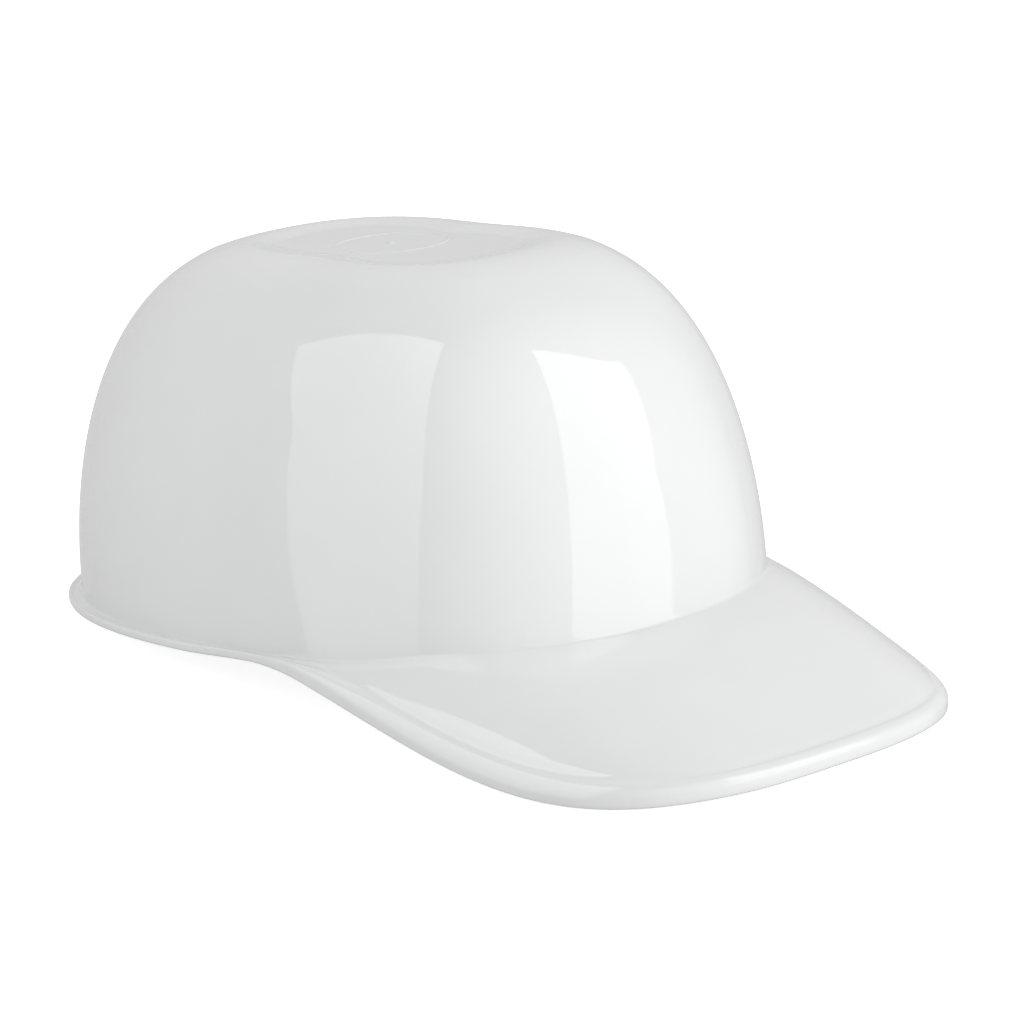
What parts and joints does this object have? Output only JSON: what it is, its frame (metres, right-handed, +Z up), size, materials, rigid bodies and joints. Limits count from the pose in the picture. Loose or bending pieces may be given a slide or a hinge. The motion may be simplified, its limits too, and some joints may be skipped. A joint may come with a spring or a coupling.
{
  "type": "batting helmet",
  "caption": "Glossy white moulded souvenir batting helmet with a rounded dome, a broad curved visor and a rolled edge, with an adjustable headband inside.",
  "frame": {"origin": "on the surface that the helmet stands on, under the centre of its bounding box", "axes": "+Z up, -Y toward the front of the visor, +X toward the wearer's left; the helmet stands on its rear rim and its visor, so its rim plane is tipped back by about 6.5 degrees"},
  "size_m": [0.197, 0.3118, 0.1349],
  "materials": {
    "white_gloss_plastic": "glossy moulded white, polished mould",
    "band_plastic": "satin natural white polyethylene",
    "strap_plastic": "satin natural white polyethylene, finely ribbed",
    "key_plastic": "satin moulded nylon",
    "stud_plastic": "satin grey moulded nylon",
    "sweatband_fabric": "brushed knit over foam",
    "pad_fabric": "open-cell foam with a knit face"
  },
  "bodies": {
    "helmet": {"shell": "white_gloss_plastic", "crown_pad": "pad_fabric"},
    "headband": {"front_band": "band_plastic", "brow_pad": "sweatband_fabric", "hanger_key_front_left": "key_plastic", "hanger_key_front_right": "key_plastic", "hanger_key_rear_left": "key_plastic", "hanger_key_rear_right": "key_plastic", "size_stud_left": "stud_plastic", "size_stud_right": "stud_plastic"},
    "nape": {"rear_strap": "strap_plastic"}
  },
  "joints": [
    {"name": "headband_release", "type": "slide", "parent": "helmet", "child": "headband", "axis": [0, -0.1127, -0.9936], "range_m": [0, 0.0105]},
    {"name": "band_size", "type": "slide", "parent": "headband", "child": "nape", "axis": [0, 0.9936, -0.1127], "range_m": [-0.014, 0.014]}
  ]
}
